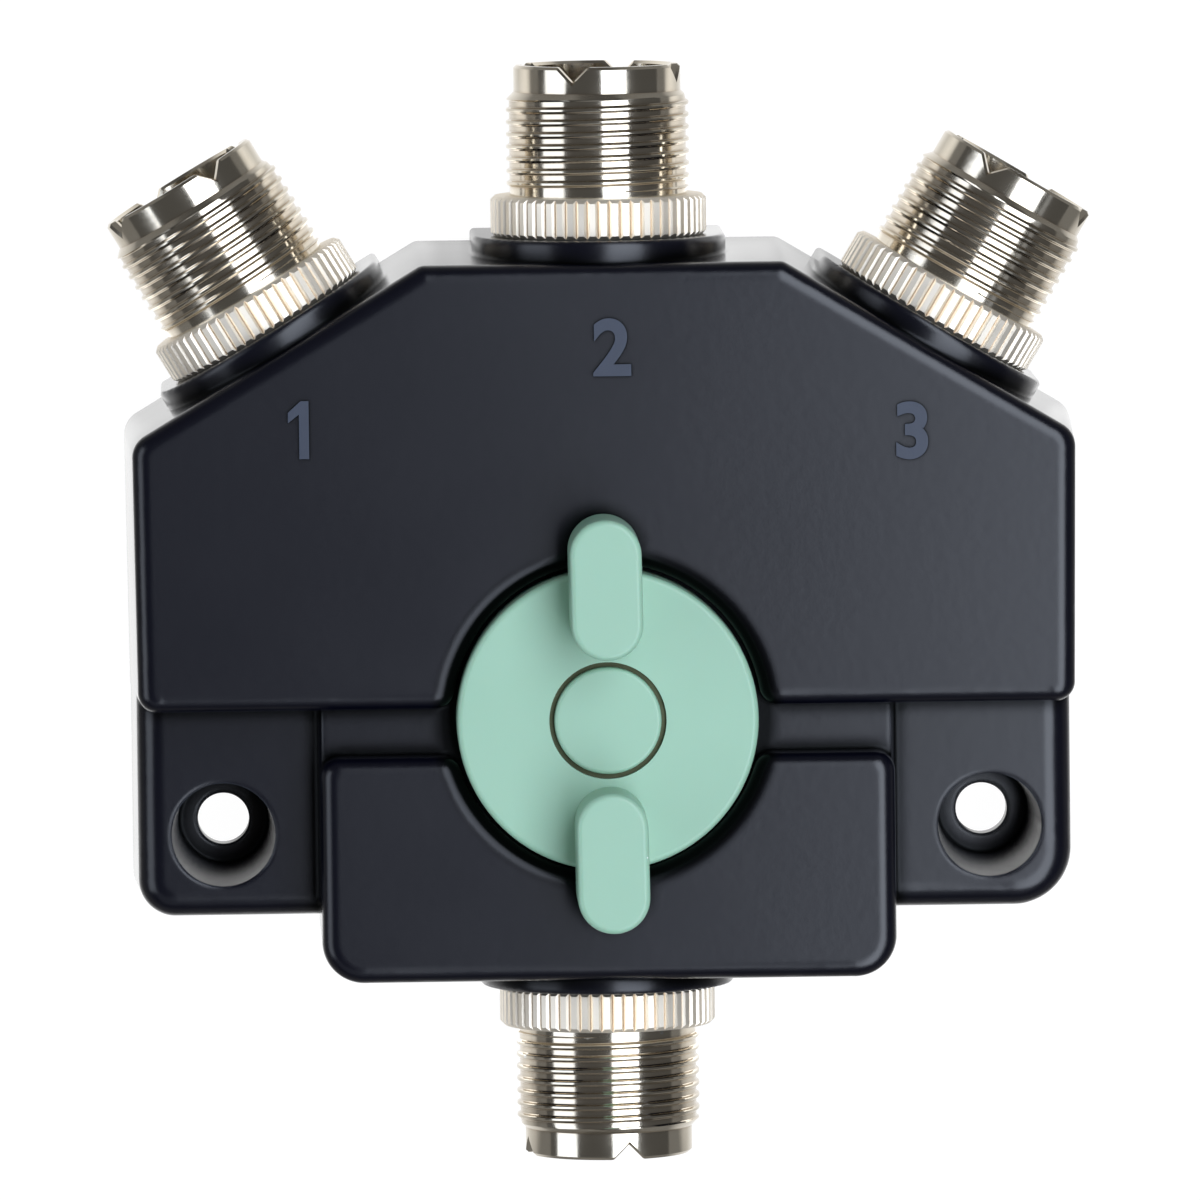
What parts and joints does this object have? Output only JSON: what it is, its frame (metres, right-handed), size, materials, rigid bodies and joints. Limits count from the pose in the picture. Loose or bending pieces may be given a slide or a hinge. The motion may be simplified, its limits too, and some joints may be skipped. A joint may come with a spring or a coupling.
{
  "type": "coaxial antenna switch",
  "caption": "Hand-operated coaxial antenna switch: a die-cast case with screw ears, threaded coaxial sockets and a two-lobed knob that joins the common socket to one of the others.",
  "frame": {"origin": "where the knob's axis meets the flat rear face of the case", "axes": "+Z out of the front along the knob's axis, +Y towards the middle one of the three selectable sockets, +X to the right seen from the front"},
  "size_m": [0.0852, 0.0947, 0.033],
  "materials": {
    "case_paint": "satin black paint on die-cast metal",
    "cover_paint": "satin black paint on sheet metal",
    "nickel_plate": "bright nickel plate on brass",
    "green_plastic": "satin moulded plastic",
    "white_insulator": "waxy white plastic",
    "silver_plate": "silver plate on brass",
    "bearing_brass": "turned brass",
    "rivet_brass": "turned brass",
    "rotor_plastic": "turned white plastic",
    "hard_steel": "ground steel",
    "screw_steel": "zinc-plated steel"
  },
  "bodies": {
    "case": {"housing": "case_paint", "rear_cover": "cover_paint", "cover_screws": "screw_steel", "port_1_socket": "nickel_plate", "port_1_ring_nut": "nickel_plate", "port_1_insulator": "white_insulator", "port_1_centre_contact": "silver_plate", "port_2_socket": "nickel_plate", "port_2_ring_nut": "nickel_plate", "port_2_insulator": "white_insulator", "port_2_centre_contact": "silver_plate", "port_3_socket": "nickel_plate", "port_3_ring_nut": "nickel_plate", "port_3_insulator": "white_insulator", "port_3_centre_contact": "silver_plate", "common_socket": "nickel_plate", "common_ring_nut": "nickel_plate", "common_insulator": "white_insulator", "common_centre_contact": "silver_plate", "port_1_contact_strip": "silver_plate", "port_2_contact_strip": "silver_plate", "port_3_contact_strip": "silver_plate", "common_contact_strip": "silver_plate", "bushing": "bearing_brass", "stop_pin": "hard_steel", "detent_spring": "hard_steel"},
    "rotor": {"knob": "green_plastic", "knob_cap": "green_plastic", "knob_screw": "screw_steel", "knob_washer": "screw_steel", "index_plate": "hard_steel", "shaft": "hard_steel", "thrust_washer": "screw_steel", "shaft_clip": "hard_steel", "rotor_hub": "rotor_plastic", "moving_contact": "silver_plate", "contact_rivets": "rivet_brass", "rotor_washer": "screw_steel", "rotor_screw": "screw_steel"},
    "detent_ball": {"detent_ball": "hard_steel"}
  },
  "joints": [
    {"name": "knob_turn", "type": "hinge", "parent": "case", "child": "rotor", "pos_m": [0, 0, 0], "axis": [0, 0, 1], "range_deg": [-45, 45]},
    {"name": "detent_ball_rise", "type": "slide", "parent": "case", "child": "detent_ball", "axis": [0, 0, 1], "range_m": [0, 0.00055], "stiffness_N_per_m": 300, "springref_m": 0.00055, "deforming": ["detent_spring"]}
  ]
}
